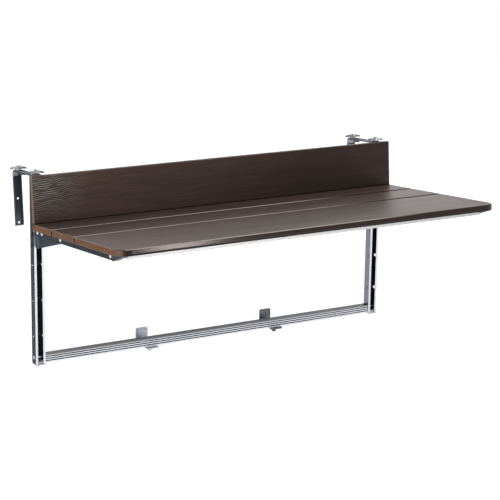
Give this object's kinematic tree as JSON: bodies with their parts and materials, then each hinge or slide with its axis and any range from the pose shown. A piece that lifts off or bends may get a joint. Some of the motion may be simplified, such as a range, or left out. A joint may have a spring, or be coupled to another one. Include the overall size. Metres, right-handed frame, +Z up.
{
  "type": "balcony table",
  "caption": "Folding table that hangs on a balcony railing: slatted top with a backboard, open post frame, sliding hooks over the rail and sliding lower rests.",
  "frame": {"origin": "the railing seat: middle of the table, level with the underside of the hook arms, at the railing side of the post tops", "axes": "+X along the tabletop, to the right for someone who stands at the table and faces the railing, +Y from the user to the railing, +Z up"},
  "size_m": [0.8, 0.476, 0.3868],
  "materials": {
    "board": "satin, embossed wood grain",
    "arm_steel": "satin blue-grey",
    "hook_steel": "satin dark blue-grey",
    "aluminium": "drawn profile",
    "zinc": "zinc plated",
    "dark_zinc": "black zinc plated",
    "moulding": "moulded",
    "nose_moulding": "moulded",
    "foot_moulding": "light grey, moulded",
    "rest_steel": "galvanised sheet",
    "rubber": "matte"
  },
  "bodies": {
    "frame": {"left_post": "aluminium", "right_post": "aluminium", "left_seat_block": "moulding", "right_seat_block": "moulding", "left_foot": "foot_moulding", "right_foot": "foot_moulding", "bottom_rail": "aluminium", "rail_screws": "dark_zinc", "pivot_bolts": "dark_zinc", "pivot_nuts": "dark_zinc", "pivot_bushings": "moulding", "lock_bolts": "dark_zinc", "lock_nuts": "dark_zinc", "seat_bolts": "zinc", "left_hook_arm": "hook_steel", "right_hook_arm": "hook_steel"},
    "table": {"front_slat": "board", "middle_slat": "board", "rear_slat": "board", "backboard": "board", "backboard_screws": "zinc", "left_arm": "arm_steel", "right_arm": "arm_steel", "left_gusset": "arm_steel", "right_gusset": "arm_steel", "left_nose": "nose_moulding", "right_nose": "nose_moulding", "arm_rivets": "zinc", "slat_screws": "zinc", "cross_bar": "aluminium", "cross_bar_screws": "zinc"},
    "left_hook": {"left_hook_leg": "hook_steel", "left_hook_bolt": "zinc"},
    "left_hook_wing": {"left_hook_nut": "zinc"},
    "left_seat_wing": {"left_seat_nut": "zinc"},
    "left_carriage": {"left_rest_bolt": "zinc", "left_rest_nut": "zinc"},
    "left_rest": {"left_rest_bracket": "rest_steel", "left_rest_pad": "rubber"},
    "right_hook": {"right_hook_leg": "hook_steel", "right_hook_bolt": "zinc"},
    "right_hook_wing": {"right_hook_nut": "zinc"},
    "right_seat_wing": {"right_seat_nut": "zinc"},
    "right_carriage": {"right_rest_bolt": "zinc", "right_rest_nut": "zinc"},
    "right_rest": {"right_rest_bracket": "rest_steel", "right_rest_pad": "rubber"}
  },
  "joints": [
    {"name": "table_fold", "type": "hinge", "parent": "frame", "child": "table", "pos_m": [0, 0.00204, -0.13233], "axis": [1, 0, 0], "range_deg": [0, 95]},
    {"name": "left_hook_slide", "type": "slide", "parent": "frame", "child": "left_hook", "axis": [0, 1, 0], "range_m": [-0.045, 0]},
    {"name": "left_hook_nut_turn", "type": "hinge", "parent": "left_hook", "child": "left_hook_wing", "pos_m": [-0.381, 0.075, 0.008], "axis": [0, 0, 1], "continuous": true},
    {"name": "left_seat_nut_turn", "type": "hinge", "parent": "frame", "child": "left_seat_wing", "pos_m": [-0.381, -0.009, 0.008], "axis": [0, 0, 1], "continuous": true},
    {"name": "left_rest_slide", "type": "slide", "parent": "frame", "child": "left_carriage", "axis": [1, 0, 0], "range_m": [-0.1, 0.1]},
    {"name": "left_rest_reach", "type": "slide", "parent": "left_carriage", "child": "left_rest", "axis": [0, 0.9962, 0.0872], "range_m": [-0.008, 0.008]},
    {"name": "right_hook_slide", "type": "slide", "parent": "frame", "child": "right_hook", "axis": [0, 1, 0], "range_m": [-0.045, 0]},
    {"name": "right_hook_nut_turn", "type": "hinge", "parent": "right_hook", "child": "right_hook_wing", "pos_m": [0.381, 0.075, 0.008], "axis": [0, 0, 1], "continuous": true},
    {"name": "right_seat_nut_turn", "type": "hinge", "parent": "frame", "child": "right_seat_wing", "pos_m": [0.381, -0.009, 0.008], "axis": [0, 0, 1], "continuous": true},
    {"name": "right_rest_slide", "type": "slide", "parent": "frame", "child": "right_carriage", "axis": [1, 0, 0], "range_m": [-0.1, 0.1]},
    {"name": "right_rest_reach", "type": "slide", "parent": "right_carriage", "child": "right_rest", "axis": [0, 0.9962, 0.0872], "range_m": [-0.008, 0.008]}
  ]
}
